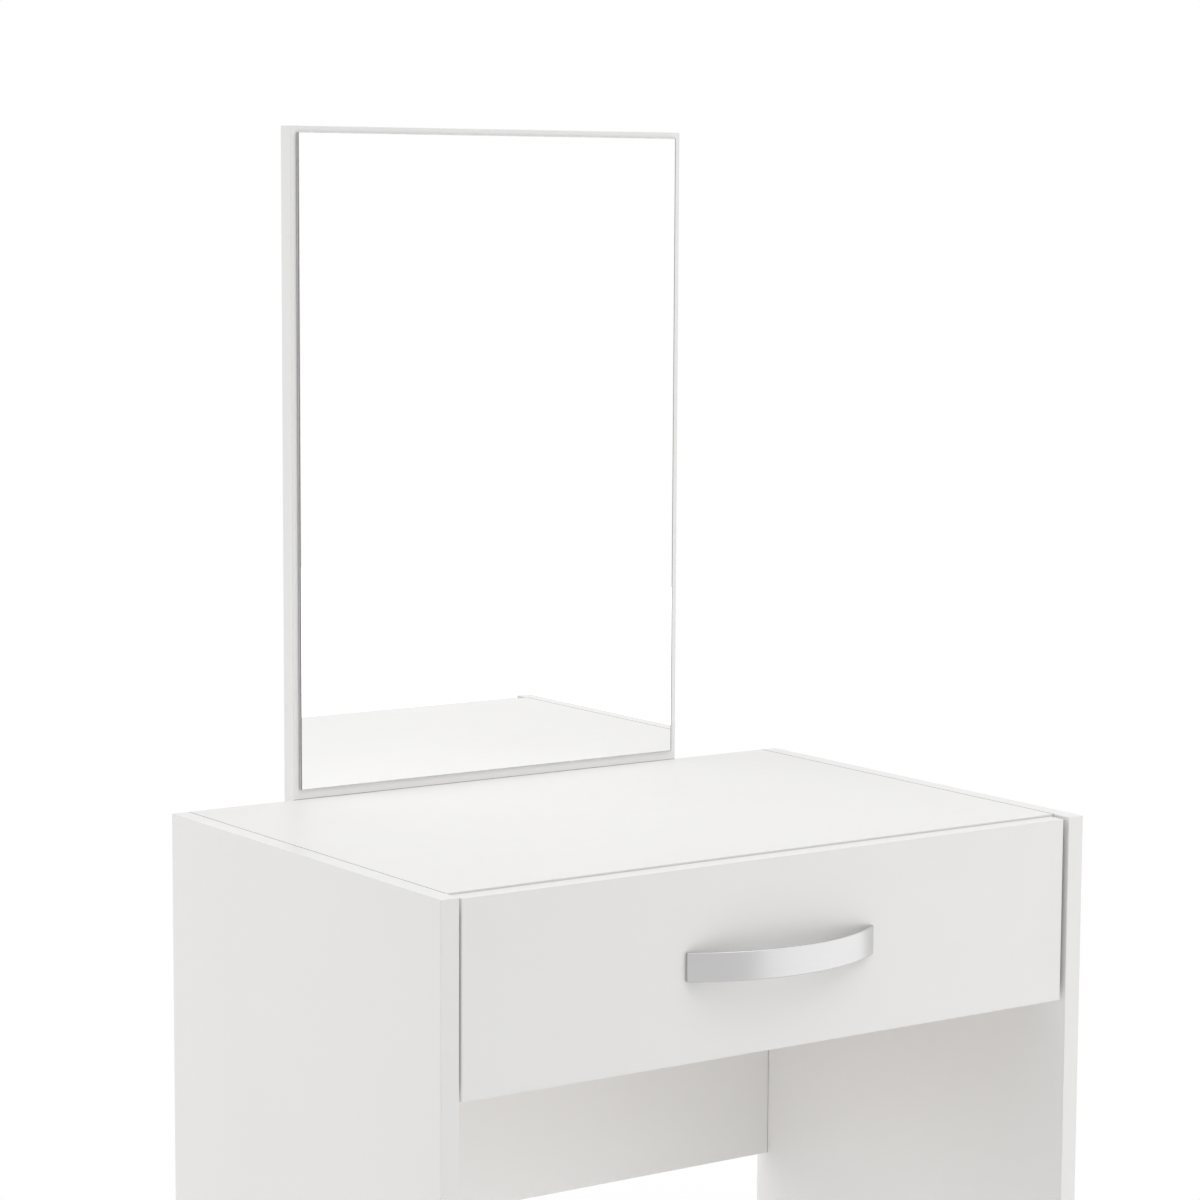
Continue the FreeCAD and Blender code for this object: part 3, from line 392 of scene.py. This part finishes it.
def bowHandle(params):
    # front of the bow: y = centre - sqrt(R^2 - x^2), with R from its length and rise; the strap's rear is
    # the same arc one strap in, as far as the drawer front; a T section is carried along it: the strap is a
    # rounded rectangle, and the foot behind it reaches the drawer front near the ends, with no depth between
    low, high = nodeBox("bow_handle")
    half, middle = (high - low) / 2, (high + low) / 2
    strap, fillet = params["strap"], params["fillet"]
    rise = high[1] - low[1] - strap
    radius = (half[0] ** 2 + rise ** 2) / (2 * rise)
    arcCentre = low[1] + radius
    inner = half[0] - params["foot"]
    turn = np.linspace(math.pi / 2, 0, params["tipSteps"])
    tip = half[0] - fillet + fillet * np.sin(turn)  # the last stretch rounds off the end face
    footLine = np.linspace(half[0] - fillet, inner, params["footSteps"])[1:]
    foot = np.concatenate([tip[:1], tip, footLine])
    eased = np.concatenate([[0], fillet - fillet * np.cos(turn), 0 * footLine])
    filled = np.concatenate([[0], np.ones(len(foot) - 1)])  # the first is the middle of the end face
    bow = np.linspace(-inner, inner, params["bowSteps"])
    along = np.concatenate([-foot, bow, foot[::-1]])
    shrink = np.concatenate([eased, 0 * bow, eased[::-1]])[:, None]
    share = np.concatenate([filled, 0 * bow + 1, filled[::-1]])[:, None]
    onFoot = np.concatenate([0 * foot + 1, 0 * bow, 0 * foot + 1])[:, None] > 0
    front = arcCentre - np.sqrt(radius ** 2 - along ** 2)
    rear = np.minimum(arcCentre - np.sqrt((radius - strap) ** 2 - along ** 2), high[1])
    thick, deep = ((rear - front) / 2)[:, None], ((rear + front) / 2)[:, None]
    signs, direction, lead = cornerArcs(params["cornerSteps"])
    lead = lead * params["lead"]
    strapAcross = signs[:, 0] * (thick - fillet - lead[:, 0]) + (fillet - shrink) * direction[:, 0]
    strapUpward = signs[:, 1] * (half[2] - fillet - lead[:, 1]) + (fillet - shrink) * direction[:, 1]
    footRoot = thick - shrink
    footSole = np.where(onFoot, high[1] - deep - shrink, footRoot)
    footUpward = params["footHeight"] / 2 * np.array([-1, -1, 1, 1]) + 0 * footRoot
    across = deep + share * np.hstack([strapAcross, footRoot, footSole, footSole, footRoot])
    upward = middle[2] + share * np.hstack([strapUpward, footUpward])
    lengthwise = middle[0] + along[:, None] + 0 * across
    surface = np.stack([lengthwise, across, upward], axis=-1)
    unbent = np.stack([radius * np.arcsin(lengthwise / radius), across - front[:, None], upward], axis=-1)
    return surfaceMesh("bow_pull", [surface], params["sharp"], own=unbent)


satinMetal = mottledFinish("satin_metal", satinSet, "own")
addPiece("bow_pull", bowHandle(handleSet), [satinMetal], "drawer", "satin_metal", "bow_handle")
print("bow handle made")


# runner rollers: a closed outline of radius and width, turned about the axle
rollerSet = {"bore": 2.05 * mm, "hub": 3.9 * mm, "rim": 7.2 * mm, "web": 0.9 * mm, "ease": 0.25 * mm,
             "shoulder": 0.8 * mm, "shoulderSteps": 6, "turnSteps": 72, "sharp": 30}
nylonSet = {"low": grey(0.78, 0.02), "high": grey(0.82, 0.016), "spread": 500, "rough": (0.38, 0.5),
            "grain": 2600, "depth": 0.00001}
rollers = ["cabinet_left_roller", "cabinet_right_roller", "drawer_left_roller", "drawer_right_roller"]


def rollerWheel(name, params):
    # one half outline from the bore to the tread's middle, mirrored in width, then turned: x, r cos, r sin
    low, high = nodeBox(name)
    centre, wide, radius = (low + high) / 2, (high[0] - low[0]) / 2, (high[2] - low[2]) / 2
    bore, hub, rim, web, ease = [params[key] for key in ("bore", "hub", "rim", "web", "ease")]
    shoulder = params["shoulder"]
    bend = np.linspace(0, math.pi / 2, params["shoulderSteps"])
    halfLine = np.array([
        (0, bore), (wide - ease, bore), (wide, bore + ease), (wide, hub - ease), (wide - ease, hub),
        (wide - web, hub + ease), (wide - web, rim - ease), (wide - ease, rim), (wide, rim + ease),
    ])
    outward = np.stack([np.cos(bend), np.sin(bend)], axis=-1)
    edge = (wide - shoulder, radius - shoulder) + shoulder * outward
    halfLine = np.concatenate([halfLine, edge, [(0, radius)]])
    outline = np.concatenate([halfLine, halfLine[-2:0:-1] * (-1, 1)])
    angle = np.linspace(0, 2 * math.pi, params["turnSteps"], endpoint=False)
    out = outline[:, 1:]
    wheel = np.stack([outline[:, :1] + 0 * angle, out * np.cos(angle), out * np.sin(angle)], axis=-1)
    return surfaceMesh(name + "_wheel", [centre + wheel], params["sharp"], ring=True)


rollerNylon = mottledFinish("roller_nylon", nylonSet)
for name in rollers:
    addPiece(name + "_wheel", rollerWheel(name, rollerSet), [rollerNylon], name, "roller_nylon", name)
print("rollers made:", len(rollers))


# screws, in mm: shapes of the head and thread, the way that all are cut, and where each group sits
screwShapes = {
    "panHead": {"head": 7.5, "height": 1.2, "core": 1.35, "outer": 2.0, "pitch": 1.8, "point": 3.0},
    "floorHead": {"head": 6.0, "height": 1.2, "core": 1.0, "outer": 1.5, "pitch": 1.35, "point": 3.0},
    "pullHead": {"head": 8.0, "height": 2.4, "core": 1.6, "outer": 2.0, "pitch": 0.7, "point": 0.5},
    "sunkHead": {"head": 8.4, "height": 0.0, "core": 1.35, "outer": 2.0, "pitch": 1.8, "point": 3.0},
}
cutSet = {
    "arm": 0.62, "slot": 0.17, "deep": 0.36,  # the cross recess, in shares of the head's radius
    "recessFloor": 0.55,  # the recess's floor, in shares of its rim
    "between": (27, 63), "betweenSteps": 5,  # angles between two arms
    "domeStart": 0.75, "domeSteps": 8, "domeOut": 0.5, "domeUp": 0.7,  # where a dome starts, how it swells
    "rim": 0.15, "ridgeWide": 0.5, "turnSteps": 6, "sharp": 30,
}
# counts of seats along x, y, z; drives: which way the screws point, and if head or point is outermost
screwSet = {
    "mirror_board_screws": {"shape": "sunkHead", "length": 27.0, "body": "carcass", "axis": 1,
                            "counts": (2, 1, 2), "drives": [(-1, "head")]},
    "cabinet_runner_screws": {"shape": "panHead", "length": 13.2, "body": "carcass", "axis": 0,
                              "counts": (1, 3, 1), "drives": [(-1, "point"), (1, "point")]},
    "handle_screws": {"shape": "pullHead", "length": 20.0, "body": "drawer", "axis": 1,
                      "counts": (2, 1, 1), "drives": [(-1, "head")]},
    "drawer_runner_screws": {"shape": "panHead", "length": 9.2, "body": "drawer", "axis": 2,
                             "counts": (2, 3, 1), "drives": [(1, "head")]},
    "drawer_back_screws": {"shape": "panHead", "length": 35.0, "body": "drawer", "axis": 0,
                           "counts": (1, 1, 2), "drives": [(1, "head"), (-1, "head")]},
    "drawer_bottom_screws": {"shape": "floorHead", "length": 15.0, "body": "drawer", "axis": 2,
                             "counts": (3, 1, 1), "drives": [(1, "head")]},
}
zincSet = {"metal": 1.0, "low": (0.60, 0.62, 0.65, 1), "high": (0.70, 0.69, 0.64, 1), "spread": 220,
           "rough": (0.24, 0.38), "grain": 1800, "depth": 0.000008}


def screwSurface(shape, length, cut):
    # every row is a radius for each turn angle and a height down the screw: the cross recess from its
    # middle out to its rim, the head's dome, then a shank whose radius is
    # core + rise x ridge(height / pitch - angle / full turn)
    head, tall, core, outer = shape["head"] / 2, shape["height"], shape["core"], shape["outer"]
    arm, slot, deep = [cut[key] * head for key in ("arm", "slot", "deep")]
    corner = math.degrees(math.atan2(slot, arm))
    between = np.linspace(*cut["between"], cut["betweenSteps"])
    quarter = np.concatenate([
        [0, corner / 2, corner, (corner + between[0]) / 2], between,
        [(between[-1] + 90 - corner) / 2, 90 - corner, 90 - corner / 2],
    ])
    angle = np.radians((np.arange(4)[:, None] * 90 + quarter).ravel())
    fold = np.radians(np.minimum(np.tile(quarter, 4), 90 - np.tile(quarter, 4)))
    cross = np.minimum(arm / np.cos(fold), slot / np.maximum(np.sin(fold), 1e-6))
    around = np.ones_like(angle)
    if tall:
        rounding = np.linspace(cut["domeStart"], math.pi / 2, cut["domeSteps"])
        dome = [(head * math.sin(turn) ** cut["domeOut"] * around, -tall * math.cos(turn) ** cut["domeUp"])
                for turn in rounding]
        dome.append((outer * around, 0.0))
        top, neck = dome[0][1], 0.0
    else:  # a sunk head is flat above and a cone below
        rim = cut["rim"]
        dome = [((head - rim) * around, 0.0), (head * around, rim), (outer * around, head - outer)]
        top, neck = 0.0, head - outer
    rows = [(0 * cross, top + deep), (cut["recessFloor"] * cross, top + deep), (cross, top)] + dome
    turns = (length - neck) / shape["pitch"]
    steps = np.linspace(0, 1, int(cut["turnSteps"] * turns) + 2)[1:]
    height = (neck + (length - neck) * steps)[:, None]
    phase = (height / shape["pitch"] - angle / (2 * math.pi)) % 1
    ridge = np.clip(1 - np.abs(2 * phase - 1) / cut["ridgeWide"], 0, 1)
    taper = np.clip((length - height) / shape["point"], 0, 1)
    shank = (core + (outer - core) * ridge) * taper
    radius = np.concatenate([np.stack([row[0] for row in rows]), shank])
    down = np.concatenate([np.array([row[1] for row in rows])[:, None] * around, height * around])
    return np.stack([radius * np.cos(angle), radius * np.sin(angle), down], axis=-1) * mm


def screwGroup(name, params, cut):
    low, high = nodeBox(name)
    shape = screwShapes[params["shape"]]
    axis, edge, length = params["axis"], shape["head"] / 2 * mm, params["length"] * mm
    surface = screwSurface(shape, params["length"], cut)
    patches = []
    for way, outermost in params["drives"]:
        reach = shape["height"] * mm if outermost == "head" else length
        fromLow = (way > 0) == (outermost == "head")
        lines = [np.linspace(a + edge, b - edge, n) if n > 1 else np.array([(a + b) / 2])
                 for a, b, n in zip(low, high, params["counts"])]
        lines[axis] = np.array([low[axis] + reach if fromLow else high[axis] - reach])
        seats = np.stack(np.meshgrid(*lines, indexing="ij"), axis=-1).reshape(-1, 3)
        basis = np.roll(np.eye(3), axis + 1, axis=1)  # rows: two across, then along the screw
        basis[2] *= way
        basis[0] *= way
        patches += [seat + surface @ basis for seat in seats]
    return surfaceMesh(name + "_crossed", patches, cut["sharp"])


zincPlate = mottledFinish("zinc_plate", zincSet)
for name, params in screwSet.items():
    group = screwGroup(name, params, cutSet)
    addPiece(name + "_crossed", group, [zincPlate], params["body"], "zinc_steel", name)
print("screw groups made:", len(screwSet))


# finishes of the CAD pieces that stay as they are
fittingSet = {
    "white_enamel": {"low": grey(0.82, 0.012), "high": grey(0.84, 0.010), "spread": 45,
                     "rough": (0.28, 0.32), "grain": 700, "depth": 0.000002,
                     "on": ["cabinet_left_runner", "cabinet_right_runner", "drawer_left_runner",
                            "drawer_right_runner"]},
    "bolt_zinc": {**zincSet, "on": ["carcass_cam_bolts", "drawer_cam_bolts", "cabinet_roller_axles",
                                    "drawer_roller_axles", "glide_nails"]},
    "cast_zinc": {"metal": 1.0, "low": grey(0.46, -0.01), "high": grey(0.58, -0.01), "spread": 300,
                  "rough": (0.42, 0.58), "grain": 1400, "depth": 0.00003,
                  "on": ["carcass_cam_discs", "drawer_cam_discs"]},
    "foam_tape": {"low": grey(0.74, 0.02), "high": grey(0.82, 0.02), "spread": 700, "rough": (0.8, 0.95),
                  "grain": 1600, "depth": 0.00012, "on": ["mirror_tape_strips"]},
    "glide_plastic": {"low": grey(0.78, 0.012), "high": grey(0.83, 0.012), "spread": 260,
                      "rough": (0.45, 0.6), "grain": 2000, "depth": 0.00002, "on": ["floor_glides"]},
    "beech_across": {"low": (0.50, 0.33, 0.19, 1), "high": (0.66, 0.47, 0.30, 1), "spread": 900,
                     "rough": (0.55, 0.7), "grain": 1500, "depth": 0.00004, "stretch": (0.06, 1, 1),
                     "on": ["carcass_dowels"]},
    "beech_lengthwise": {"low": (0.50, 0.33, 0.19, 1), "high": (0.66, 0.47, 0.30, 1), "spread": 900,
                         "rough": (0.55, 0.7), "grain": 1500, "depth": 0.00004, "stretch": (1, 0.06, 1),
                         "on": ["drawer_dowels"]},
}
for name, params in fittingSet.items():
    dress(mottledFinish(name, params), *params["on"])
print("fittings dressed:", sum(len(params["on"]) for params in fittingSet.values()))


# camera of the photograph: angles in degrees, place in metres
cameraSet = {"place": (-1.537787, -2.173530, 1.233994), "yaw": -34.7040, "pitch": -6.6979, "roll": -0.2979,
             "lens": 102.604, "sensor": 36.0, "clip": (0.05, 100.0)}


def photographCamera(params):
    camera = bpy.data.cameras.new("photograph_camera")
    camera.sensor_fit = "HORIZONTAL"
    camera.sensor_width = params["sensor"]
    camera.lens = params["lens"]
    camera.clip_start, camera.clip_end = params["clip"]
    rig = bpy.data.objects.new("photograph_camera", camera)
    bpy.context.scene.collection.objects.link(rig)
    turn = Matrix.Identity(4)
    for angle, axis in (("yaw", "Z"), ("pitch", "X"), ("roll", "Y")):
        turn = turn @ Matrix.Rotation(math.radians(params[angle]), 4, axis)
    level = Matrix.Rotation(math.radians(90), 4, "X")  # a new camera looks down
    rig.matrix_world = Matrix.Translation(params["place"]) @ turn @ level
    bpy.context.scene.camera = rig


photographCamera(cameraSet)


def seenRays(tree):  # 1 for rays that show the surroundings: from the camera, in metal, through glass
    rays = addNode(tree, "LightPath")
    seen = rays.outputs["Is Camera Ray"]
    for name in ("Is Glossy Ray", "Is Transmission Ray"):
        seen = combine(tree, "MAXIMUM", seen, rays.outputs[name])
    return seen


# floor: lit near the table, so that it keeps the shadow, and plain white further out
floorSet = {"half": 30.0, "colour": 0.80, "rough": 0.9, "lift": 0.28, "near": 0.9, "far": 1.6}


def paleFloor(params):
    half = params["half"]
    mesh = bpy.data.meshes.new("floor")
    corners = [(-half, -half, 0), (half, -half, 0), (half, half, 0), (-half, half, 0)]
    mesh.from_pydata(corners, [], [(0, 1, 2, 3)])
    floor = bpy.data.objects.new("floor", mesh)
    bpy.context.scene.collection.objects.link(floor)
    material, tree, shader = newFinish("pale_floor", Roughness=params["rough"])
    shader.inputs["Base Color"].default_value = grey(params["colour"])
    shader.inputs["Emission Color"].default_value = grey(1.0)
    shader.inputs["Specular IOR Level"].default_value = 0.0
    seen = seenRays(tree)
    tree.links.new(combine(tree, "MULTIPLY", seen, params["lift"]), shader.inputs["Emission Strength"])
    place = addNode(tree, "TexCoord").outputs["Object"]
    length = addNode(tree, "VectorMath", operation="LENGTH")
    tree.links.new(place, length.inputs[0])
    away = remap(tree, length.outputs["Value"], 0, 1, params["near"], params["far"])
    white = addNode(tree, "Emission", Color=grey(1.0), Strength=1.0)
    mix = addNode(tree, "MixShader")
    tree.links.new(combine(tree, "MULTIPLY", seen, away), mix.inputs["Fac"])
    tree.links.new(shader.outputs["BSDF"], mix.inputs[1])
    tree.links.new(white.outputs["Emission"], mix.inputs[2])
    tree.links.new(mix.outputs["Shader"], tree.nodes["Material Output"].inputs["Surface"])
    mesh.materials.append(material)


paleFloor(floorSet)

# surroundings: white where they are seen, and this ambient level on everything else
worldSet = {"ambient": 0.59}


def whiteSurroundings(params):
    world = bpy.data.worlds.new("white_surroundings")
    world.use_nodes = True
    bpy.context.scene.world = world
    tree = world.node_tree
    sky = tree.nodes["Background"]
    sky.inputs["Color"].default_value = grey(1.0)
    level = remap(tree, seenRays(tree), params["ambient"], 1, 0, 1)
    tree.links.new(level, sky.inputs["Strength"])


whiteSurroundings(worldSet)

# soft boxes: place, aim and size in metres, power in watts, whether metal mirrors them, spread in degrees
lampSet = {
    "overhead": {"place": (0.6, -1.1, 3.0), "aim": (0, 0, 0.7), "size": (2.6, 2.6), "power": 27.4,
                 "mirrored": True},
    "right": {"place": (1.265, -1.006, 0.36), "aim": (0, -0.2, 0.36), "size": (3.5, 0.7), "power": 4.7,
              "mirrored": True},
    "left": {"place": (-2.4, 0.9, 1.3), "aim": (-0.3, 0, 0.6), "size": (1.8, 1.8), "power": 17.2,
             "mirrored": False},
    "front": {"place": (1.5, -2.0, 0.6), "aim": (0, -0.2, 0.6), "size": (1.2, 1.2), "power": 2.6,
              "mirrored": False},
    "rear": {"place": (0.9, 2.8, 1.4), "aim": (0, 0, 0.7), "size": (1.8, 1.8), "power": 7,
             "mirrored": False},
    "kneeSpace": {"place": (0, -0.02, 0.012), "aim": (0, -0.019, 1), "size": (0.34, 0.46), "power": 0.83,
                  "mirrored": False, "spread": 110},
}


def softBox(name, params):
    lamp = bpy.data.lights.new(name, "AREA")
    lamp.shape = "RECTANGLE"
    lamp.size, lamp.size_y = params["size"]
    lamp.energy = params["power"]
    lamp.spread = math.radians(params.get("spread", 180))
    box = bpy.data.objects.new(name, lamp)
    bpy.context.scene.collection.objects.link(box)
    place, aim = Vector(params["place"]), Vector(params["aim"])
    turn = (aim - place).to_track_quat("-Z", "Y").to_matrix().to_4x4()
    box.matrix_world = Matrix.Translation(place) @ turn
    box.visible_camera = False
    box.visible_glossy = params["mirrored"]


for name, params in lampSet.items():
    softBox(name, params)
print("camera, floor, surroundings and lamps set")

bpy.context.scene.view_settings.view_transform = "Standard"
